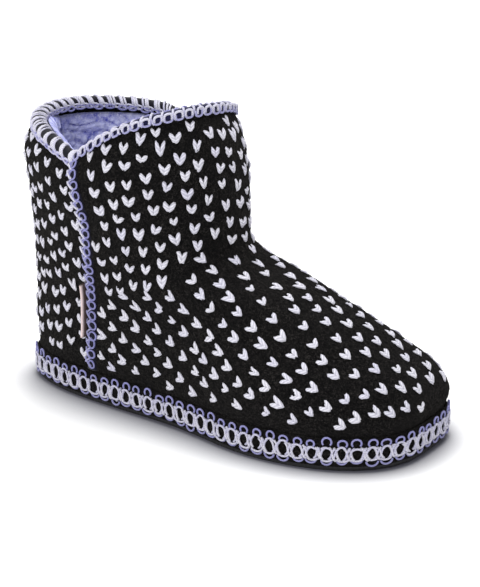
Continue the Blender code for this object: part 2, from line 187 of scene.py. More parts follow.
def section_points(around):
    """Points of every section, from the feather line to the collar's edge."""
    rise = THROAT_HEIGHT - UPPER_BASE
    shaft_front = SHAFT_DEPTH - HALF_LENGTH
    x, y = even_points(around, sole_slice(FEATHER_INSET))
    rows = [(x, y, np.full_like(x, UPPER_BASE))]
    for low, high, heel, reach, little, big, *rest in FOOT_ROWS:
        back, front = heel * HALF_LENGTH, shaft_front + reach * (HALF_LENGTH - shaft_front)
        x, y = even_points(around, Slice(back, front, little * SOLE_LATERAL, big * SOLE_MEDIAL, *rest, 0))
        share = low + (high - low) * (x - back) / (front - back)
        rows.append((x, y, UPPER_BASE + rise * share))
    edge = collar_height(around)
    for share, heel, depth, little, big, *rest in SHAFT_ROWS:
        back, front = heel * HALF_LENGTH, depth * SHAFT_DEPTH - HALF_LENGTH
        half = SHAFT_WIDTH / 2
        x, y = even_points(around, Slice(back, front, little * half, big * half, *rest, 0))
        rows.append((x, y, THROAT_HEIGHT + share * (edge - THROAT_HEIGHT)))
    return np.array(rows).transpose(0, 2, 1) + (0, SIDE_SHIFT, 0)


def last_surface(around, level):
    """Outer form of the upper: Catmull-Rom curves up through the sections. Level counts
    the sections from the feather line; around and level are arrays of one shape."""
    places, column = np.unique(around, return_inverse=True)
    rows = section_points(places)
    rows = np.concatenate((2 * rows[:1] - rows[1:2], rows, 2 * rows[-1:] - rows[-2:-1]))
    column = column.reshape(around.shape)
    k = np.clip(np.floor(level).astype(int), 0, TOP_LEVEL - 1)
    f = (level - k)[..., None]
    a, b, c, d = (rows[k + step, column] for step in range(4))
    point = b + 0.5 * f * (c - a) + f ** 2 * (a - 2.5 * b + 2 * c - 0.5 * d)
    point += f ** 3 * (1.5 * (b - c) + 0.5 * (d - a))
    point[..., 2] += toe_lift(point[..., 0]) * np.clip(1 - level / THROAT_LEVEL, 0, 1)
    return point


def unit(vector):
    """The same direction with a length of one."""
    return vector / np.linalg.norm(vector, axis=-1, keepdims=True)


def surface_frame(around, level):
    """Point, direction along the section and outward normal of the upper's form."""
    first, last = np.where(around > 1, 1 + 1e-6, 0), np.where(around > 1, 2, 1)
    after = last_surface(np.clip(around + 0.004, first, last), level)
    before = last_surface(np.clip(around - 0.004, first, last), level)
    along = unit(after - before)
    up = last_surface(around, level + 0.05) - last_surface(around, level - 0.05)
    return last_surface(around, level), along, unit(np.cross(along, up))


def panel_step(around):
    """How far the outer face lies under the last's form: the heel panel starts one overlap
    below the front panel and eases out behind the seam."""
    behind = np.clip(np.minimum(around - 1, 2 - around) / OVERLAP_FADE_SHARE, 0, 1)
    return np.where(around > 1, PANEL_OVERLAP * (1 - behind ** 2 * (3 - 2 * behind)), 0.0)


def collar_level(around, drop):
    """Level that lies a given height below the collar's edge."""
    shaft = collar_height(around) - THROAT_HEIGHT
    return TOP_LEVEL - (TOP_LEVEL - THROAT_LEVEL) * drop / shaft


# Black knit panels: one wraps the shaft's front, one the heel and one is pulled over the foot
# and joined to the shaft along the ankle seam. They are chunky stocking stitch in soft black
# yarn, with relief at every stitch. Their edges tuck under the edging and the sole's band.
WALE = 0.0052
COURSE = 0.0054
STITCH_RELIEF = 0.0007
KNIT_THICKNESS = 0.0014
KNIT_SPACING = 0.00095

# The ankle seam. Columns: place round the front panel (mirrored past the middle), level.
ANKLE_SEAM = np.array((
    (0.00, 3.90), (0.05, 4.38), (0.135, 4.92), (0.185, 5.25),
    (0.292, 6.15), (0.348, 6.85), (0.415, 7.10), (0.50, 7.18),
))

# Soft folds and dents in the cloth, each along a short line on the last.
# Columns: start (around, level), end (around, level), half width, rise (below zero: a trough).
FOLDS = (
    (0.30, 6.30, 0.50, 7.30, 0.0060, -0.0012),
    (0.34, 7.70, 0.52, 7.90, 0.0080, 0.0009),
    (0.08, 6.60, 0.24, 7.30, 0.0090, -0.0009),
    (0.10, 8.60, 0.22, 9.60, 0.0100, 0.0008),
    (0.40, 4.60, 0.60, 4.70, 0.0110, -0.0009),
    (0.22, 3.10, 0.30, 4.40, 0.0090, -0.0008),
    (0.62, 7.40, 0.86, 6.60, 0.0090, -0.0011),
    (0.70, 3.20, 0.78, 4.60, 0.0090, -0.0008),
    (1.22, 6.20, 1.46, 5.70, 0.0080, -0.0010),
    (1.60, 5.80, 1.86, 6.40, 0.0080, -0.0010),
    (1.30, 8.40, 1.62, 8.70, 0.0090, -0.0008),
)


def ankle_level(around):
    """Level of the ankle seam."""
    return smooth(np.minimum(around, 1 - around), ANKLE_SEAM, 1)


def fold_height(point):
    """Sum of the folds at points: each is a bell across its line, faded at the line's ends."""
    height = np.zeros(point.shape[:-1])
    for a0, l0, a1, l1, half, rise in FOLDS:
        t = np.linspace(0, 1, 13)
        line = last_surface(a0 + (a1 - a0) * t, l0 + (l1 - l0) * t)
        gap = np.linalg.norm(point[..., None, :] - line, axis=-1)
        near = gap.argmin(-1)
        fade = np.sin(np.pi * (0.06 + 0.88 * near / 12)) ** 0.7
        height += rise * fade * np.exp(-(gap.min(-1) / half) ** 2)
    return height


def unroll(point, towards):
    """Distances over a cloth with its wales and across them, and the wales' direction. Each
    is the field whose steps best match the cloth's, in least squares by conjugate gradients."""
    normal = unit(np.cross(np.gradient(point, axis=1), np.gradient(point, axis=0)))
    wale = unit(towards - (normal * towards).sum(-1, keepdims=True) * normal)
    found = []
    for direction in (wale, np.cross(normal, wale)):
        steps, weights = [], []
        for axis in (0, 1):
            move = np.diff(point, axis=axis)
            here = np.delete(direction, -1, axis) + np.delete(direction, 0, axis)
            steps.append((move * here).sum(-1) / 2)
            weights.append(1 / ((move ** 2).sum(-1) + 1e-10))

        def gather(flows):
            total = np.zeros(point.shape[:2])
            total[1:] += flows[0] * weights[0]
            total[:-1] -= flows[0] * weights[0]
            total[:, 1:] += flows[1] * weights[1]
            total[:, :-1] -= flows[1] * weights[1]
            return total

        field = np.zeros(point.shape[:2])
        rest = gather(steps)
        search, size = rest.copy(), (rest ** 2).sum()
        for _ in range(600):
            pushed = gather((np.diff(search, axis=0), np.diff(search, axis=1)))
            stride = size / (search * pushed).sum()
            field += stride * search
            rest -= stride * pushed
            size, before = (rest ** 2).sum(), size
            search = rest + size / before * search
        found.append(field - field.mean())
    return found[0], found[1], wale


def refine(field, rows, columns):
    """Values of a coarse grid on a finer one, by straight lines each way."""
    for axis, count in ((0, rows), (1, columns)):
        place = np.linspace(0, field.shape[axis] - 1, count)
        k = np.minimum(place.astype(int), field.shape[axis] - 2)
        f = (place - k).reshape([-1 if a == axis else 1 for a in range(field.ndim)])
        field = np.take(field, k, axis) * (1 - f) + np.take(field, k + 1, axis) * f
    return field


def stitch_height(along, across):
    """Relief of stocking stitch: slanted strands nest as a column of Vs in each wale, with a
    groove between wales and down each middle."""
    side = np.abs(across / WALE % 1 * 2 - 1)
    strand = 0.5 + 0.5 * np.cos(2 * np.pi * (along / COURSE + 0.9 * side))
    return STITCH_RELIEF * (0.3 + 0.7 * strand) * np.sin(np.pi * (0.10 + 0.84 * side)) ** 0.6


Cloth = namedtuple("Cloth", "point normal wale along across")


def step_lengths(points, axis=0):
    """Distances from each point to the next, along a path or one way over a grid."""
    return np.linalg.norm(np.diff(points, axis=axis), axis=-1)


def knit_panel(first, last, low, high, towards, pattern):
    """One panel of cloth between two places round the last and two level functions. Its
    stitches point towards one direction, and its white stitches are counted in another."""
    def grid(rows, columns):
        share = np.linspace(0, 1, rows)[:, None]
        around = np.linspace(first, last, columns)[None] + 0 * share
        return around, low(around) + (high(around) - low(around)) * share

    coarse = last_surface(*grid(49, 81))
    along, across, wale = unroll(coarse, towards)
    fields = (wale, along, across, *unroll(coarse, pattern)[:2])
    rows, columns = (int(step_lengths(coarse, a).sum(a).max() / KNIT_SPACING) for a in (0, 1))
    around, level = grid(rows, columns)
    point, _, normal = surface_frame(around, level)
    wale, along, across, *counted = (refine(field, rows, columns) for field in fields)
    lift = stitch_height(along, across) + fold_height(point) - panel_step(around)
    return Cloth(point + normal * (lift - STITCH_RELIEF / 2)[..., None], normal, unit(wale), *counted)


def add_object(name, data):
    """A new object in the scene."""
    thing = bpy.data.objects.new(name, data)
    bpy.context.scene.collection.objects.link(thing)
    return thing


def add_piece(name, vertices, faces, material, slot, uv=None, **values):
    """One piece of the slipper. UV lists a pair for each corner of each face, and values are
    numbers kept on the points for the material to read."""
    mesh = bpy.data.meshes.new(name)
    mesh.from_pydata(np.asarray(vertices).reshape(-1, 3).tolist(), [], [tuple(f) for f in faces])
    mesh.shade_smooth()
    if uv is not None:
        mesh.uv_layers.new(name="UVMap").data.foreach_set("uv", np.asarray(uv, np.float32).ravel())
    for key, numbers in values.items():
        layer = mesh.attributes.new(key, "FLOAT", "POINT")
        layer.data.foreach_set("value", np.asarray(numbers, np.float32).ravel())
    mesh.materials.append(material)
    piece = add_object(name, mesh)
    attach(piece, "root")
    return piece


def grid_faces(rows, columns, closed=False):
    """Quads of a grid of points, row by row. A closed grid joins its last column to its first."""
    i, j = np.mgrid[:rows - 1, :columns if closed else columns - 1]
    k = (j + 1) % columns
    low, high = i * columns, (i + 1) * columns
    return np.stack((low + j, low + k, high + k, high + j), -1).reshape(-1, 4)


def add_backing(sheet, thickness, offset):
    """Gives a sheet its thickness, all under its face for an offset of -1 and half for 0."""
    backing = sheet.modifiers.new("thickness", "SOLIDIFY")
    backing.thickness = thickness
    backing.offset = offset


def set_inputs(node, inputs):
    """Sets inputs of a node by name, where an underscore stands for a space."""
    for label, value in inputs.items():
        node.inputs[label.replace("_", " ")].default_value = value
    return node


def add_node(tree, kind, **inputs):
    """A new shader node with some of its inputs set."""
    return set_inputs(tree.nodes.new("ShaderNode" + kind), inputs)


def new_material(name, colour, roughness, **inputs):
    """A material whose shader has a plain colour, a roughness and other inputs set."""
    material = bpy.data.materials.new(name)
    material.use_nodes = True
    shader = material.node_tree.nodes["Principled BSDF"]
    set_inputs(shader, {"Base Color": (*colour, 1), "Roughness": roughness, **inputs})
    return material, material.node_tree, shader


def stretch(tree, value, low, high):
    """A value from 0 where another is low to 1 where it is high."""
    reach = add_node(tree, "MapRange", From_Min=low, From_Max=high)
    tree.links.new(value, reach.inputs["Value"])
    return reach.outputs["Result"]


def point_value(tree, name):
    """The number of that name that a piece keeps on its points."""
    kept = add_node(tree, "Attribute")
    kept.attribute_name = name
    return kept.outputs["Fac"]


def add_relief(tree, shader, height, strength, distance):
    """Joins a height to the shader's normal as relief."""
    relief = add_node(tree, "Bump", Strength=strength, Distance=distance)
    tree.links.new(height, relief.inputs["Height"])
    tree.links.new(relief.outputs["Normal"], shader.inputs["Normal"])
    return relief


def make_fibre_group():
    """Fibre effect that yarn and cloth share: loose pale fibres, slow mottling and relief."""
    group = bpy.data.node_groups.new("yarn fibres", "ShaderNodeTree")
    face = group.interface
    face.new_socket("Vector", in_out="INPUT", socket_type="NodeSocketVector")
    for label in ("Fibre Scale", "Mottle Scale"):
        face.new_socket(label, in_out="INPUT", socket_type="NodeSocketFloat")
    for label in ("Fibres", "Mottle", "Height"):
        face.new_socket(label, in_out="OUTPUT", socket_type="NodeSocketFloat")
    nodes, links = group.nodes, group.links
    start, end = nodes.new("NodeGroupInput"), nodes.new("NodeGroupOutput")
    mottle = add_node(group, "TexNoise", Detail=2)
    fine = add_node(group, "TexNoise", Detail=4, Roughness=0.65, Distortion=1.6)
    cells = add_node(group, "TexVoronoi")
    cells.feature = "DISTANCE_TO_EDGE"
    add = add_node(group, "Math")
    add.operation = "MULTIPLY_ADD"
    add.inputs[1].default_value = 0.6
    for node, scale in ((mottle, "Mottle Scale"), (fine, "Fibre Scale"), (cells, "Fibre Scale")):
        links.new(start.outputs["Vector"], node.inputs["Vector"])
        links.new(start.outputs[scale], node.inputs["Scale"])
    links.new(stretch(group, fine.outputs["Fac"], 0.50, 0.72), end.inputs["Fibres"])
    links.new(mottle.outputs["Fac"], end.inputs["Mottle"])
    links.new(cells.outputs["Distance"], add.inputs[0])
    links.new(fine.outputs["Fac"], add.inputs[2])
    links.new(add.outputs[0], end.inputs["Height"])
    return group


fibre_group = make_fibre_group()


def add_fibres(tree, shader, scale, mottle, bump, distance):
    """Puts the fibre effect into a material and joins its height to the shader's normal."""
    fibres = add_node(tree, "Group")
    fibres.node_tree = fibre_group
    set_inputs(fibres, {"Fibre Scale": scale, "Mottle Scale": mottle})
    tree.links.new(add_node(tree, "TexCoord").outputs["Object"], fibres.inputs["Vector"])
    add_relief(tree, shader, fibres.outputs["Height"], bump, distance)
    return fibres


def mix_colours(tree, mask, low, high):
    """A colour between two others, after a mask. Low and high are colours or sockets."""
    mix = add_node(tree, "Mix")
    mix.data_type = "RGBA"
    tree.links.new(mask, mix.inputs["Factor"])
    for socket, value in ((mix.inputs[6], low), (mix.inputs[7], high)):
        if isinstance(value, bpy.types.NodeSocket):
            tree.links.new(value, socket)
        else:
            socket.default_value = (*value, 1)
    return mix.outputs[2]


def paint(tree, shader, mask, low, high):
    """Gives a shader a colour between two others, after a mask."""
    tree.links.new(mix_colours(tree, mask, low, high), shader.inputs["Base Color"])


black_knit, tree, shader = new_material(
    "black knit", (0.004, 0.004, 0.004), 1.0, Sheen_Weight=0.03, Sheen_Roughness=0.6,
    Sheen_Tint=(0.6, 0.56, 0.53, 1), Specular_IOR_Level=0.02)
fibres = add_fibres(tree, shader, 900, 90, 0.9, 0.0006)
fuzz = mix_colours(tree, fibres.outputs["Fibres"], (0.0010, 0.0010, 0.0012), (0.060, 0.055, 0.052))
paint(tree, shader, fibres.outputs["Mottle"], fuzz, (0.003, 0.003, 0.0033))

panels = {
    "knit_shaft": knit_panel(0.0, 1.0, lambda a: ankle_level(a) - 0.02,
                             lambda a: collar_level(a, TRIM_HEIGHT * 0.6), (0, 0, -1), (0, 0, -1)),
    "knit_foot": knit_panel(0.0, 1.0, lambda a: 0 * a, lambda a: ankle_level(a) + 0.02,
                            (1, 0, -0.42), (1, 0, -0.12)),
    "knit_heel": knit_panel(1 + 1e-6, 2.0, lambda a: 0 * a,
                            lambda a: collar_level(a, TRIM_HEIGHT * 0.6), (0, 0, -1), (0, 0, -1)),
}
for name, cloth in panels.items():
    rows, columns = cloth.point.shape[:2]
    panel = add_piece(name, cloth.point, grid_faces(rows, columns), black_knit, "black_knit")
    add_backing(panel, KNIT_THICKNESS, -1)
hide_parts("upper")

# White stitches: single stitches of thick white yarn knitted into the black, each a plump V
# whose tip points down on the shaft and heel and towards the toe on the foot. They stand in
# staggered columns, a little uneven in size, place and tilt as handmade stitches are.
STITCH_LENGTH = 0.0064
STITCH_WIDTH = 0.0068
STITCH_HEIGHT = 0.0013
STITCH_SINK = 0.0003
STITCH_SIDES = 6
STITCH_DRIFT = 0.0006
STITCH_CATCH = 0.0008

# Rings of one leg of a white stitch. Columns: share of the length from the tip, distance from
# the middle and half width (shares of the width), rise (share of the height).
LEG_RINGS = np.array((
    (0.00, 0.02, 0.05, 0.20),
    (0.16, 0.08, 0.14, 0.70),
    (0.40, 0.16, 0.20, 1.00),
    (0.64, 0.22, 0.22, 1.05),
    (0.84, 0.29, 0.17, 0.80),
    (1.00, 0.34, 0.07, 0.30),
))
RAGGED = 0.00016

# Steps of the repeat over the cloth, along and across its rows: to the next white stitch of a
# column and to the next column. Then the columns' own shifts, in shares of the first step.
SHAFT_REPEAT = ((0.0104, 0.0013), (0.0, 0.0104))
FOOT_REPEAT = ((0.0092, -0.0041), (-0.0010, 0.0132))
SHAFT_SHIFTS = (0.0, 0.45, 0.1, 0.55, 0.4, 0.95, 0.5, 0.9, 0.35, 0.8)
FOOT_SHIFTS = (0.0,)


def place_stitches(cloth, repeat, shifts, margins, jitter):
    """Points of a cloth where white stitches stand: the nearest to the repeat's places, within
    the catch, and inside margins at its first and last row and column."""
    (da, dc), (ea, ec) = repeat
    along, across = cloth.along, cloth.across
    i, j = (g.ravel() for g in np.mgrid[-40:41, -40:41])
    shift = np.array(shifts)[j % len(shifts)]
    spots = np.stack(((i + shift) * da + j * ea, (i + shift) * dc + j * ec), -1)
    spots += jitter.normal(0, STITCH_DRIFT, spots.shape)
    low, high = (along.min(), across.min()), (along.max(), across.max())
    spots = spots[((spots > low) & (spots < high)).all(1)]
    gap = (along.ravel()[None] - spots[:, :1]) ** 2 + (across.ravel()[None] - spots[:, 1:]) ** 2
    node = gap.argmin(1)
    node = node[gap.min(1) < STITCH_CATCH ** 2]
    row, column = np.unravel_index(node, along.shape)
    down, over = step_lengths(cloth.point, 0), step_lengths(cloth.point, 1)
    rise = np.vstack((0 * down[:1], np.cumsum(down, axis=0)))[row, column]
    height = down.sum(0)[column]
    reach = np.hstack((0 * over[:, :1], np.cumsum(over, axis=1)))[row, column]
    width = over.sum(1)[row]
    keep = (rise > margins[0]) & (height - rise > margins[1])
    keep &= (reach > margins[2]) & (width - reach > margins[3])
    return row[keep], column[keep]


def stitch_vertices(point, normal, tip, length, width, height):
    """Legs of many stitches, each rings of an ellipse from the tip out and back. Arrays run
    over stitches, then legs, rings and points of a ring."""
    side = np.cross(normal, tip)
    leg = np.array((-1.0, 1.0))[None, :, None, None, None]
    ring = LEG_RINGS.T[:, None, None, :, None, None]
    angle = (np.arange(STITCH_SIDES) + 0.5) * 2 * np.pi / STITCH_SIDES
    angle = angle[None, None, None, :, None]
    point, normal, tip, side = (v[:, None, None, None, :] for v in (point, normal, tip, side))
    length, width, height = (v[:, None, None, None, None] for v in (length, width, height))
    out = leg * (ring[1] + ring[2] * np.cos(angle)) * width
    along = (0.5 - ring[0]) * length
    up = height * (ring[3] * 0.55 + ring[3] * 0.45 * np.sin(angle)) - STITCH_SINK
    return point + side * out + tip * along + normal * up


def tube_faces(tubes, rings, sides, closed=False):
    """Quads and end caps of many tubes, and a UV pair for each corner: turns round the tube
    and share of its length."""
    t, i, k = np.mgrid[:tubes, :rings if closed else rings - 1, :sides]
    following = (i + 1) % rings
    corner = [(t * rings + a) * sides + (k + b) % sides
              for a, b in ((i, 0), (i, 1), (following, 1), (following, 0))]
    quads = np.stack(corner, -1).reshape(-1, 4)
    turns = np.stack([(k + b) / sides for b in (0, 1, 1, 0)], -1)
    reach = np.stack([(i + a) / rings + 0 * k for a in (0, 0, 1, 1)], -1)
    uv = np.stack((turns, reach), -1).reshape(-1, 2)
    if closed:
        return quads, uv
    t, k = np.mgrid[:tubes, :sides]
    first = (t * rings * sides + k)[:, ::-1]
    caps = np.concatenate((first, (t * rings + rings - 1) * sides + k))
    ends = np.stack((np.tile(k / sides, (2, 1)), np.repeat((0, 1), tubes)[:, None] + 0 * caps), -1)
    return [*quads, *caps], np.concatenate((uv, ends.reshape(-1, 2)))


# Yarn for stitches and edging. Its tint is white at 0, lavender from 0.3 to 0.5, navy at 0.85
# and black at 1; the navy end is painted shade for the dark holes seen through loops. The plies
# twist along the strand, and the grooves between plies and the hollows of the fibre relief are
# darkened as painted shade.
yarn, tree, shader = new_material("soft yarn", (0.62, 0.61, 0.66), 0.95, Sheen_Weight=0.12,
                                  Sheen_Roughness=0.5, Specular_IOR_Level=0.08)
fibres = add_fibres(tree, shader, 1100, 260, 0.6, 0.0004)
ramp = add_node(tree, "ValToRGB")
ramp.color_ramp.elements[0].color = (0.74, 0.73, 0.77, 1)
ramp.color_ramp.elements[1].color = (0.012, 0.012, 0.018, 1)
# The 0.70 and 0.85 stops are navy: painted shade for the dark holes seen through loops.
for place, colour in ((0.25, (0.50, 0.49, 0.68, 1)), (0.50, (0.25, 0.25, 0.53, 1)),
                      (0.70, (0.10, 0.10, 0.30, 1)), (0.85, (0.010, 0.010, 0.035, 1))):
    ramp.color_ramp.elements.new(place).color = colour
tree.links.new(point_value(tree, "tint"), ramp.inputs["Fac"])
twist = add_node(tree, "Mapping", Scale=(1.885, 2.2, 1))
plies = add_node(tree, "TexWave", Scale=1, Distortion=0.6)
plies.bands_direction = "DIAGONAL"
tree.links.new(add_node(tree, "UVMap").outputs["UV"], twist.inputs["Vector"])
tree.links.new(twist.outputs["Vector"], plies.inputs["Vector"])
# Painted shade: the yarn is darker in the grooves between plies and where the fibre relief is low.
ply_groove_shade = mix_colours(tree, plies.outputs["Fac"], (0.52, 0.52, 0.58), (1, 1, 1))
painted_crease_shade = add_node(tree, "Mix", Factor=1.0)
painted_crease_shade.data_type = "RGBA"
painted_crease_shade.blend_type = "MULTIPLY"
tree.links.new(ramp.outputs["Color"], painted_crease_shade.inputs[6])
tree.links.new(mix_colours(tree, fibres.outputs["Height"], (0.55, 0.55, 0.60), ply_groove_shade), painted_crease_shade.inputs[7])
tree.links.new(painted_crease_shade.outputs[2], shader.inputs["Base Color"])

jitter = np.random.default_rng(7)
for name, repeat, shifts, margins in (
        ("knit_shaft", SHAFT_REPEAT, SHAFT_SHIFTS, (0.0006, 0.0048, 0.0080, 0.0080)),
        ("knit_foot", FOOT_REPEAT, FOOT_SHIFTS, (0.0066, 0.0004, 0.0080, 0.0080)),
        ("knit_heel", SHAFT_REPEAT, SHAFT_SHIFTS, (0.0070, 0.0052, 0.0045, 0.0045))):
    cloth = panels[name]
    row, column = place_stitches(cloth, repeat, shifts, margins, jitter)
    count = len(row)
    normal = cloth.normal[row, column]
    tilt = jitter.normal(0, 0.14, count)[:, None]
    tip = unit(cloth.wale[row, column] + tilt * np.cross(normal, cloth.wale[row, column]))
    size = jitter.normal(1, 0.12, (3, count))
    vertices = stitch_vertices(cloth.point[row, column], normal, tip, STITCH_LENGTH * size[0],
                               STITCH_WIDTH * size[1], STITCH_HEIGHT * size[2])
    vertices = vertices + jitter.normal(0, RAGGED, vertices.shape)
    faces, uv = tube_faces(count * 2, len(LEG_RINGS), STITCH_SIDES)
    tints = np.clip(jitter.normal(0.02, 0.02, count), 0, 1)
    add_piece(name.replace("knit", "white_stitches"), vertices, faces, yarn, "crochet_yarn", uv,
              tint=np.repeat(tints, 2 * len(LEG_RINGS) * STITCH_SIDES))

# Fleece lining: curly periwinkle pile on the inside of the knit, from under the collar's
# edging down to the footbed. It is a second skin with soft lumps that stand inwards. Round the
# notch on the little toe side it puffs up to the rim and further in.
LINING_DEPTH = 0.0012
LINING_THICKNESS = 0.0008
LINING_LOW_LEVEL = 0.55
LINING_DROP = 1.40
LINING_ROLL = 0.0045
PILE = 0.0046
PUFF = (1.48, 2.10)
PUFF_DROP = 0.05
PUFF_DEPTH = 0.030
PUFF_START = 0.0042
PUFF_OUT = 0.0070


def pile_height(point):
    """Curly pile from 0 to 1: round lumps of three sizes, with creases where random waves in
    space pass through zero."""
    waves = np.random.default_rng(3)
    height = np.zeros(point.shape[:-1])
    for wavelength, share in ((0.012, 0.45), (0.007, 0.35), (0.0048, 0.20)):
        total = np.zeros(point.shape[:-1])
        for _ in range(7):
            direction = unit(waves.normal(size=3)) * 2 * np.pi / wavelength
            total += np.sin(point @ direction + waves.uniform(0, 2 * np.pi))
        height += share * (1 - np.exp(-0.9 * np.abs(total)))
    return height


fleece, tree, shader = new_material(
    "periwinkle fleece", (0.28, 0.30, 0.72), 1.0, Sheen_Weight=0.6, Sheen_Roughness=0.4,
    Sheen_Tint=(0.62, 0.65, 1.0, 1), Specular_IOR_Level=0.1)
fibres = add_fibres(tree, shader, 700, 150, 1.0, 0.0012)
# Painted shade: the pile is deep blue in its hollows and pale on its tops.
depth = stretch(tree, point_value(tree, "pile"), 0.25, 0.85)
pile_hollow_shade = mix_colours(tree, depth, (0.07, 0.08, 0.50), (0.66, 0.68, 1.0))
paint(tree, shader, fibres.outputs["Fibres"], pile_hollow_shade, (0.86, 0.87, 1.0))

around = np.concatenate((np.linspace(0, 1, 280), np.linspace(1 + 1e-6, 2 - 1e-6, 110)))[None]
share = np.linspace(0, 1, 120)[:, None] ** 0.7
turned = np.where(around < 1, around + 2, around)
puff = np.sin(np.pi * np.clip((turned - PUFF[0]) / (PUFF[1] - PUFF[0]), 0, 1)) ** 0.5
lining_high = collar_level(around, TRIM_HEIGHT * (LINING_DROP - (LINING_DROP - PUFF_DROP) * puff))
level = LINING_LOW_LEVEL + (lining_high - LINING_LOW_LEVEL) * share
point, _, normal = surface_frame(around + 0 * share, level)
pile_up = pile_height(point)
below = point[-1:, :, 2] - point[..., 2]
roll = np.sqrt(np.clip(below / LINING_ROLL, 0, 1))
near_top = np.clip(1 - below / PUFF_DEPTH, 0, 1)
stand = PILE * (0.4 + pile_up) + PUFF_OUT * puff * near_top
inwards = WALL - LINING_DEPTH + PUFF_START * puff * near_top + roll * stand
lining_faces = grid_faces(120, 390, closed=True)[:, ::-1]
lining = add_piece("fleece_lining", point - normal * inwards[..., None], lining_faces, fleece,
                   "sherpa_lining", pile=pile_up)
add_backing(lining, LINING_THICKNESS, -1)

# Footbed: the same fleece over a thin pad that fills the floor of the upper.
FOOTBED_TOP = 0.0236
FOOTBED_BASE = 0.0190
FOOTBED_ROUNDING = 0.0012
FOOTBED_LUMPS = 0.0012
ring_share = np.concatenate((np.linspace(0.02, 0.98, 46), (1.0, 1.0)))
edge_around = np.concatenate((np.linspace(0.002, 0.998, 190), np.linspace(1.004, 1.996, 86)))
rim, _, rim_normal = surface_frame(edge_around, np.full_like(edge_around, 0.45))
rim = rim - unit(rim_normal * (1, 1, 0)) * (WALL + 2 * CLEARANCE)
middle = rim.mean(0)
bed = middle + (rim - middle) * ring_share[:, None, None]
bed_pile = pile_height(bed * (1, 1, 0))
bed[..., 2] = FOOTBED_TOP - FOOTBED_ROUNDING * np.clip(ring_share[:, None] * 12 - 11, 0, 1) ** 2
bed[..., 2] += toe_lift(bed[..., 0]) + FOOTBED_LUMPS * (bed_pile - 0.5)
bed[-1, :, 2] = FOOTBED_BASE + toe_lift(bed[-1, :, 0])
centres = [(*middle[:2], height) for height in (FOOTBED_TOP, FOOTBED_BASE)]
rings, sides = bed.shape[:2]
count, outer = rings * sides, (rings - 1) * sides
faces = [*grid_faces(rings, sides, closed=True)]
faces += [(count, (j + 1) % sides, j) for j in range(sides)]
faces += [(outer + j, outer + (j + 1) % sides, count + 1) for j in range(sides)]
footbed = add_piece("fleece_footbed", np.vstack((bed.reshape(-1, 3), centres)),
                    [f[::-1] for f in faces], fleece, "sherpa_lining",
                    pile=np.append(bed_pile.ravel(), (0.5, 0.5)))
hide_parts("insole")

# Crocheted band round the sole: rows of looped yarn over a dark knitted strip. From the top
# down each repeat is a lavender arch, a white arc over a tall dark hole between crossed white
# strands, a white scallop and a lavender one. It is sewn round the foam's side and hides it.
OUTSOLE_THICKNESS = 0.0024
ARCH_LIFT = 0.0015
ARCH_MIDDLE_SHARE = -0.12
ARCH_REACH_SHARE = 0.42
BAND_TOP = 0.0192
BAND_PITCH = 0.0082
YARN_WIDTH = 0.00080
YARN_SIDES = 6
WOBBLE = 0.09
SLIP = 0.004
PLY_LENGTH = 0.0040

Ribbon = namedtuple("Ribbon", "path side out length")


def make_ribbon(path, side, out):
    """A path to lay stitches along, with the directions across it and off the surface."""
    return Ribbon(path, side + 0 * path, out, np.append(0, np.cumsum(step_lengths(path))))


def lay(ribbon, distance, across, out):
    """Points at distances along, across and off a ribbon, and the directions off it there."""
    def at(values):
        return np.stack([np.interp(distance, ribbon.length, values[:, a]) for a in range(3)], -1)
    off = unit(at(ribbon.out))
    return at(ribbon.path) + at(ribbon.side) * across[..., None] + off * out[..., None], off


def oval(first, last, count, half, middle, tall, off, power=2.0):
    """Part of an oval stitch between two angles in degrees, from 0 along the ribbon."""
    angle = np.radians(np.linspace(first, last, count))
    c, s = np.cos(angle), np.sin(angle)
    return half * bulge(c, 2 / power), middle + tall * bulge(s, 2 / power), off


def yarn_tubes(path, out, thick):
    """Points of round tubes along many paths."""
    run = unit(np.gradient(path, axis=1))
    side = unit(np.cross(run, out))
    off = np.cross(side, run)
    angle = np.arange(YARN_SIDES) * 2 * np.pi / YARN_SIDES
    wide, high = (np.cos(angle) * thick)[:, None], (np.sin(angle) * thick)[:, None]
    return path[..., None, :] + (side[..., None, :] * wide + off[..., None, :] * high)


def add_yarns(name, ribbon, stitches):
    """Yarn stitches along a ribbon as one piece. Each row lists its places, its shape (along,
    across, off), its thickness as a share of the yarn's width, its tint and if it is closed."""
    vertices, faces, uvs, tints, start = [], [], [], [], 0
    for places, (along, across, off), share, tint, closed in stitches:
        if closed:
            along, across, off = (v[:-1] for v in np.broadcast_arrays(along, across, off))
        slack = jitter.normal(1, WOBBLE, (3, len(places), 1))
        distance = places[:, None] + (slack[0] - 1) * SLIP + along * slack[1]
        path, out = lay(ribbon, distance, across * slack[2], off + 0 * distance)
        if closed:
            wrapped = [np.concatenate((v[:, -1:], v, v[:, :1]), 1) for v in (path, out)]
            tube = yarn_tubes(*wrapped, YARN_WIDTH * share)[:, 1:-1]
        else:
            tube = yarn_tubes(path, out, YARN_WIDTH * share)
        quads, uv = tube_faces(len(places), path.shape[1], YARN_SIDES, closed)
        uv[:, 1] *= step_lengths(path[0]).sum() / PLY_LENGTH
        vertices.append(tube.reshape(-1, 3))
        faces += [tuple(np.asarray(f) + start) for f in quads]
        uvs.append(uv)
        tints.append(np.full(len(vertices[-1]), tint) + jitter.normal(0, 0.02, len(vertices[-1])))
        start += len(vertices[-1])
    add_piece(name, np.vstack(vertices), faces, yarn, "crochet_yarn", np.vstack(uvs),
              tint=np.clip(np.concatenate(tints), 0, 1))


def underside(x, y):
    """Height of the outsole's lower face: the toe spring and a cosine hump for the arch."""
    along = np.clip(np.abs(x / HALF_LENGTH - ARCH_MIDDLE_SHARE) / ARCH_REACH_SHARE, 0, 1)
    across = (2 + np.clip(y / SOLE_MEDIAL, -1, 1)) / 3
    return toe_lift(x) + ARCH_LIFT * across * (1 + np.cos(np.pi * along)) / 2


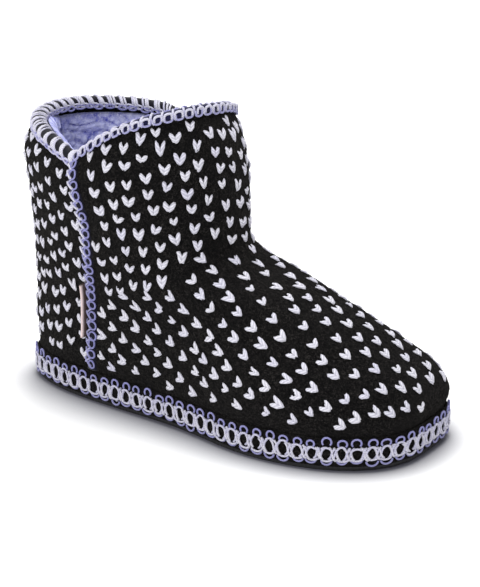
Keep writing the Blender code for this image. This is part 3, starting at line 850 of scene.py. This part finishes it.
outline_around = np.concatenate((np.linspace(0, 1, 420), np.linspace(1 + 1e-6, 2, 180)[1:]))
x, y = even_points(outline_around, sole_slice(0))
outline = np.stack((x, y + SIDE_SHIFT, 0 * x), -1)
tangent = unit(np.gradient(outline, axis=0))
outward = np.cross(tangent, (0, 0, 1.0))
band_low = underside(x, y) + OUTSOLE_THICKNESS + CLEARANCE
band_high = BAND_TOP + toe_lift(x)
path = outline + (0, 0, 1) * ((band_low + band_high) / 2)[:, None]
tall = (band_high - band_low).mean()
band = make_ribbon(path, (0, 0, 1), outward)

# Section of the knitted strip. Columns: height as a share of the band's, distance off.
STRIP_PROFILE = ((-0.50, -0.0015), (-0.50, -0.0008), (-0.30, -0.0005),
                 (0.30, -0.0005), (0.46, -0.0008), (0.50, -0.0015))
strip = np.array([path + outward * off + (0, 0, 1) * ((band_high - band_low) * share)[:, None]
                  for share, off in STRIP_PROFILE])[:, :-1]
rows, columns = strip.shape[:2]
faces = grid_faces(rows, columns, closed=True)
closing = grid_faces(2, columns, closed=True)
closing = np.where(closing < columns, closing + (rows - 1) * columns, closing - columns)
strip_piece = add_piece("band_backing", strip, np.vstack((faces, closing)), black_knit, "crochet_yarn")
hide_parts("sole_band")

repeats = int(band.length[-1] / BAND_PITCH)
pitch = band.length[-1] / repeats
places = (np.arange(repeats) + 0.5) * pitch
half = pitch / 2
down = np.linspace(-1, 1, 9)
lean = half * (0.16 * down + 0.30 * down ** 3)
fall = -tall * (0.03 + 0.215 * down)
white_rows = [(places + half + side * half * 0.25,
               (turn * lean, fall, 0.0004 + 0.0003 * turn * down), 0.86, tint, False)
              for turn, tint in ((1, 0.04), (-1, 0.14)) for side in (-1, 1)]
add_yarns("band_yarn", band, (
    (places, oval(-40, 220, 13, half * 0.56, tall * 0.32, tall * 0.13, 0.0003), 0.72, 0.44, False),
    *white_rows,
    (places, oval(15, 165, 9, half * 0.60, tall * 0.125, tall * 0.10, 0.0005), 0.80, 0.12, False),
    (places, oval(190, 350, 9, half * 0.80, -tall * 0.20, tall * 0.10, 0.0006), 0.80, 0.08, False),
    (places, oval(180, 360, 11, half * 0.74, -tall * 0.28, tall * 0.15, 0.0002), 0.76, 0.40, False),
))

# Collar edging: a dark corded edge bound with yarn. At the back, three white strands at a time
# wrap slantwise over the cord, with chains of loops along its foot outside and inside. At the
# front a chain of round loops, white above and lavender below, lies on the outer face.
TRIM_LIP = 0.0014
REAR_INNER_LIP = 0.0038
CORD_HALF_HEIGHT = 0.0028
CORD_SINK = 0.0005
YARN_SINK = 0.0003
WRAP_PITCH = 0.0072
CHAIN_PITCH = 0.0058
# Tint of the front cord: its navy is painted shade for the holes of the loops over the dark cord.
NAVY_HOLE_SHADE = 0.83


def collar_ribbon(first, last, inner_lip):
    """Ribbon along the middle of the collar's edging, across it up, and off it outwards."""
    around = np.linspace(first, last, 300)
    point, _, normal = surface_frame(around, collar_level(around, TRIM_HEIGHT))
    outward = unit(normal * (1, 1, 0))
    inward = (WALL + inner_lip - TRIM_LIP + panel_step(around)) / 2
    path = point - outward * inward[:, None] + (0, 0, TRIM_HEIGHT / 2)
    return make_ribbon(path, (0, 0, 1), outward)


def loop(half, middle, tall, off, power=2.0):
    """A closed loop that lies flat on a ribbon."""
    return oval(0, 360, 13, half, middle, tall, off, power)


def add_core(name, ribbon, across, off, count, tint):
    """A closed bar of dark yarn, its section given by distances across and off."""
    along = np.linspace(0, ribbon.length[-1], count)
    bar = np.array([lay(ribbon, along, np.full(count, a), np.full(count, b))[0]
                    for a, b in zip(across, off)])
    sides = len(across)
    faces = [*grid_faces(count, sides, closed=True), tuple(range(sides - 1, -1, -1)),
             tuple(range((count - 1) * sides, count * sides))]
    return add_piece(name, bar.transpose(1, 0, 2), faces, yarn, "crochet_yarn",
                     tint=np.full(count * sides, tint))


for name, first, last, inner_lip in (("front", 0.0015, 0.9985, TRIM_LIP),
                                     ("rear", 1.003, 1.997, REAR_INNER_LIP)):
    ribbon = collar_ribbon(first, last, inner_lip)
    outer = (WALL + TRIM_LIP + inner_lip) / 2 - YARN_SINK
    angle = np.linspace(0, 2 * np.pi, 15)[:-1]
    across = CORD_HALF_HEIGHT * bulge(np.sin(angle), 0.8)
    off = (outer - CORD_SINK) * bulge(np.cos(angle), 0.8)
    core = add_core("collar_cord_" + name, ribbon, across, off, 160, NAVY_HOLE_SHADE if name == "front" else 1.0)
    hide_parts("collar_trim_" + name)
    if name == "rear":
        places = np.arange(WRAP_PITCH * 0.3, ribbon.length[-1], WRAP_PITCH)
        between = places + WRAP_PITCH / 2
        turn = np.radians(np.linspace(-50, 230, 14))
        wrap = (-WRAP_PITCH * 0.60 * np.linspace(-0.5, 0.5, 14), TRIM_HEIGHT * 0.44 * np.sin(turn),
                outer * np.cos(turn))
        add_yarns("collar_yarn_rear", ribbon, (
            (places - WRAP_PITCH * 0.17, wrap, 0.82, 0.04, False),
            (places, wrap, 0.86, 0.02, False),
            (places + WRAP_PITCH * 0.18, wrap, 0.80, 0.10, False),
            (places, loop(WRAP_PITCH * 0.40, -TRIM_HEIGHT * 0.34, 0.0012, -outer), 0.80, 0.44, True),
            (between, loop(WRAP_PITCH * 0.40, -TRIM_HEIGHT * 0.20, 0.0010, -outer), 0.70, 0.10, True),
            (places, loop(WRAP_PITCH * 0.42, -TRIM_HEIGHT * 0.36, 0.0014, outer), 0.85, 0.18, True),
            (between, loop(WRAP_PITCH * 0.30, -TRIM_HEIGHT * 0.36, 0.0009, outer), 0.70, 0.40, True),
        ))
    else:
        places = np.arange(CHAIN_PITCH * 0.5, ribbon.length[-1] - CHAIN_PITCH * 0.3, CHAIN_PITCH)
        between = places + CHAIN_PITCH / 2
        half, tall = CHAIN_PITCH * 0.36, TRIM_HEIGHT * 0.33
        over = np.radians(np.linspace(20, 160, 9))
        link = (0.0010 * np.linspace(-1, 1, 7), TRIM_HEIGHT * 0.32 * np.linspace(1, -1, 7), outer)
        bridge = (0.0008 * np.linspace(-1, 1, 9), TRIM_HEIGHT * 0.42 * np.sin(over), outer * np.cos(over))
        add_yarns("collar_yarn_front", ribbon, (
            (places, oval(-30, 200, 11, half, 0.0001, tall, outer, 2.6), 0.90, 0.08, False),
            (places, oval(165, 385, 9, half, -0.0001, tall, outer, 2.6), 0.82, 0.36, False),
            (between, link, 0.75, 0.20, False),
            (places, loop(CHAIN_PITCH * 0.40, 0.0, TRIM_HEIGHT * 0.34, -outer, 2.4), 0.85, 0.45, True),
            (between, bridge, 0.90, 0.10, False),
        ))

# Side seam edging: two rows of loops down the edge of the front panel, from the collar's
# notch to the sole's band. Lavender loops stand towards the toe, and slanted strands, white
# above and lavender below, bind the edge over the heel panel.
SEAM_PITCH = 0.0062
SEAM_WIDTH = 0.0075
LOOP_OUT = 0.0010
WHITE_ABOVE_SHARE = 0.55

# Section of the dark tape. Columns: place across as a share of the width, distance off.
TAPE_PROFILE = np.array((
    (-0.50, -0.0010), (-0.46, 0.0002), (-0.20, 0.0006), (0.25, 0.0006), (0.50, 0.0), (0.46, -0.0012),
))


def seam_ribbon(side):
    """Ribbon up a side seam, across it towards the toe and off it along the normal."""
    notch = collar_height(np.array([2.0 if side == "lateral" else 1.0 + 1e-6]))[0]
    heights = np.linspace(BAND_TOP + 0.0004, notch - TRIM_HEIGHT * 0.5, 200)
    edge = 0.002 if side == "lateral" else 0.998
    ladder = np.linspace(0, TOP_LEVEL, 400)
    level = np.interp(heights, last_surface(np.full_like(ladder, edge), ladder)[:, 2], ladder)
    point, along, normal = surface_frame(np.full_like(level, edge), level)
    return make_ribbon(point, along if side == "lateral" else -along, normal)


for side in ("lateral", "medial"):
    ribbon = seam_ribbon(side)
    # The seam tape's tint lies at the ramp's navy end: a nearly black tape with faint painted navy shade
    # in the loops' holes.
    core = add_core("seam_tape_" + side, ribbon, TAPE_PROFILE[:, 0] * SEAM_WIDTH, TAPE_PROFILE[:, 1],
                    150, 0.95)
    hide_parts("side_trim_" + side)
    places = np.arange(ribbon.length[-1] - SEAM_PITCH * 0.2, SEAM_PITCH * 0.5, -SEAM_PITCH)
    white_from = ribbon.length[-1] * WHITE_ABOVE_SHARE
    strand = (SEAM_PITCH * 0.95 * np.linspace(0.5, -0.5, 9), SEAM_WIDTH * np.linspace(-0.56, -0.02, 9),
              LOOP_OUT * (0.3 + np.sin(np.linspace(0.1, 3.0, 9))))
    leaning = (SEAM_PITCH * 0.55 * np.linspace(-0.5, 0.5, 9), *strand[1:])
    lavender = loop(SEAM_PITCH * 0.40, SEAM_WIDTH * 0.10, SEAM_WIDTH * 0.33, LOOP_OUT, 2.2)
    add_yarns("seam_yarn_" + side, ribbon, (
        (places, lavender, 0.70, 0.46, True),
        (places[places > white_from], strand, 0.95, 0.05, False),
        (places[places <= white_from], strand, 0.70, 0.38, False),
        (places + SEAM_PITCH * 0.4, leaning, 0.65, 0.30, False),
    ))

# Label: a blank loop of dark woven tape with a pale edge, caught behind the seam's edging on
# the little toe side.
LABEL_CENTRE = 0.0585
LABEL_HEIGHT = 0.0350
LABEL_DEPTH = 0.0050
LABEL_THICKNESS = 0.00028
LABEL_HALF_GAP = 0.00055
LABEL_BEHIND_SEAM = 0.0006

woven_label, tree, shader = new_material("woven tape", (0.060, 0.036, 0.032), 0.75)
weave = add_node(tree, "TexWave", Scale=900, Distortion=1.2)
weave.bands_direction = "Z"
tree.links.new(add_node(tree, "TexCoord").outputs["Object"], weave.inputs["Vector"])
add_relief(tree, shader, weave.outputs["Fac"], 0.5, 0.0002)
# Painted shade: the tape is darker in the weave's troughs and lighter on its ridges.
woven = mix_colours(tree, weave.outputs["Fac"], (0.040, 0.022, 0.020), (0.085, 0.055, 0.050))
paint(tree, shader, point_value(tree, "pale"), woven, (0.62, 0.50, 0.50))

ribbon = seam_ribbon("lateral")
start = np.interp(LABEL_CENTRE - LABEL_HEIGHT / 2, ribbon.path[:, 2], ribbon.length)
end = np.interp(LABEL_CENTRE + LABEL_HEIGHT / 2, ribbon.path[:, 2], ribbon.length)
turn = np.radians(np.linspace(-90, 90, 9))
rise = np.array((0.0003, 0.0016, 0.0030))
gap = np.concatenate((-np.ones(3), np.sin(turn), np.ones(3))) * LABEL_HALF_GAP
across = -SEAM_WIDTH * 0.5 - LABEL_BEHIND_SEAM + gap
off = np.concatenate((rise, LABEL_DEPTH - 0.0005 + 0.0005 * np.cos(turn), rise[::-1]))
along = np.linspace(start, end, 24)
ripple = 0.0004 * np.sin(3 * np.linspace(0, 1, 24)) / LABEL_DEPTH
tape = np.array([lay(ribbon, along, a + ripple * b, np.full(24, b))[0] for a, b in zip(across, off)])
paleness = np.clip((off - LABEL_DEPTH + 0.0012) / 0.0004, 0, 1)[:, None] + np.zeros(24)
label = add_piece("blank_label", tape, grid_faces(len(off), 24), woven_label, "woven_label", pale=paleness)
add_backing(label, LABEL_THICKNESS, 0)
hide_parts("side_label")

# Sole: a thin black rubber outsole with a studded underside, and the dark foam midsole that
# stands behind the band. Both keep the frame's solids and take real finishes.
rubber, tree, shader = new_material("studded rubber", (0.012, 0.012, 0.013), 0.7, Specular_IOR_Level=0.3)
studs = add_node(tree, "TexVoronoi", Scale=420, Randomness=0.15)
tree.links.new(add_node(tree, "TexCoord").outputs["Object"], studs.inputs["Vector"])
add_relief(tree, shader, studs.outputs["Distance"], 0.9, 0.0008).invert = True
# Painted shade: the rubber is a little lighter at the studs' middles and darker between them.
paint(tree, shader, studs.outputs["Distance"], (0.018, 0.018, 0.019), (0.006, 0.006, 0.007))
foam, tree, shader = new_material("dark foam", (0.02, 0.02, 0.024), 0.95)
add_fibres(tree, shader, 500, 100, 0.3, 0.0003)
for node, material in (("outsole", rubber), ("midsole", foam)):
    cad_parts[node].data.materials.clear()
    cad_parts[node].data.materials.append(material)

# Stage: a white floor with a contact shadow painted round the slipper, under soft, even studio light.
floor_mesh = bpy.data.meshes.new("floor")
floor_mesh.from_pydata([(-6, -6, 0), (6, -6, 0), (6, 10, 0), (-6, 10, 0)], [], [(0, 1, 2, 3)])
white_floor, tree, shader = new_material("white floor", (0.92, 0.92, 0.92), 0.8, Specular_IOR_Level=0.1)
contact_shadow = add_node(tree, "AmbientOcclusion", Distance=0.030)
contact_shadow.samples = 16
shade = stretch(tree, contact_shadow.outputs["AO"], 0.40, 1.0)
paint(tree, shader, shade, (0.14, 0.14, 0.17), (0.92, 0.92, 0.92))
floor_mesh.materials.append(white_floor)
floor = add_object("floor", floor_mesh)

world = bpy.data.worlds.new("studio")
bpy.context.scene.world = world
world.use_nodes = True
set_inputs(world.node_tree.nodes["Background"], {"Color": (1, 1, 1, 1), "Strength": 0.55})

# Columns: name, place, size, power.
LAMPS = (
    ("overhead", (-0.05, 0.25, 1.30), 1.1, 20),
    ("front", (0.50, -1.40, 0.75), 1.2, 17),
    ("heel side", (-1.20, -0.90, 0.50), 1.0, 7),
    ("back", (-0.60, 1.60, 0.50), 1.2, 8),
)


def turn_to(thing, *axes):
    """Turns a lamp or camera so that its own three axes lie along the given directions."""
    thing.rotation_mode = "QUATERNION"
    thing.rotation_quaternion = mathutils.Matrix(np.stack(axes, 1).tolist()).to_quaternion()


for name, place, size, power in LAMPS:
    lamp = bpy.data.lights.new(name, "AREA")
    lamp.size = size
    lamp.energy = power
    light = add_object(name, lamp)
    light.location = place
    aim = unit(np.array(place) - (0, 0, 0.06))
    side_axis = unit(np.cross((0, 1.0, 0.3), aim))
    turn_to(light, side_axis, np.cross(aim, side_axis), aim)

# Camera: the photograph's view, from the toe's little toe side and a little above.
AZIMUTH = np.radians(33.8)
ELEVATION = np.radians(20)
DISTANCE = 1.2
FOCAL = 2083.4
CENTRE_X, CENTRE_Y = 221.27, 313.86
FRAME_WIDTH, FRAME_HEIGHT = 480, 587
back = np.array((np.sin(AZIMUTH) * np.cos(ELEVATION), -np.cos(AZIMUTH) * np.cos(ELEVATION),
                 np.sin(ELEVATION)))
right = np.array((np.cos(AZIMUTH), np.sin(AZIMUTH), 0))
up = np.cross(back, right)
lens = bpy.data.cameras.new("camera")
lens.sensor_width = 36
lens.lens = FOCAL * 36 / FRAME_HEIGHT
lens.clip_start, lens.clip_end = 0.05, 50
camera = add_object("camera", lens)
scale = DISTANCE / FOCAL
camera.location = (np.array((0, SIDE_SHIFT, 0.060)) + DISTANCE * back
                   - (CENTRE_X - FRAME_WIDTH / 2) * scale * right
                   + (CENTRE_Y - FRAME_HEIGHT / 2) * scale * up)
turn_to(camera, right, up, back)
bpy.context.scene.camera = camera
bpy.context.scene.view_settings.view_transform = "Standard"
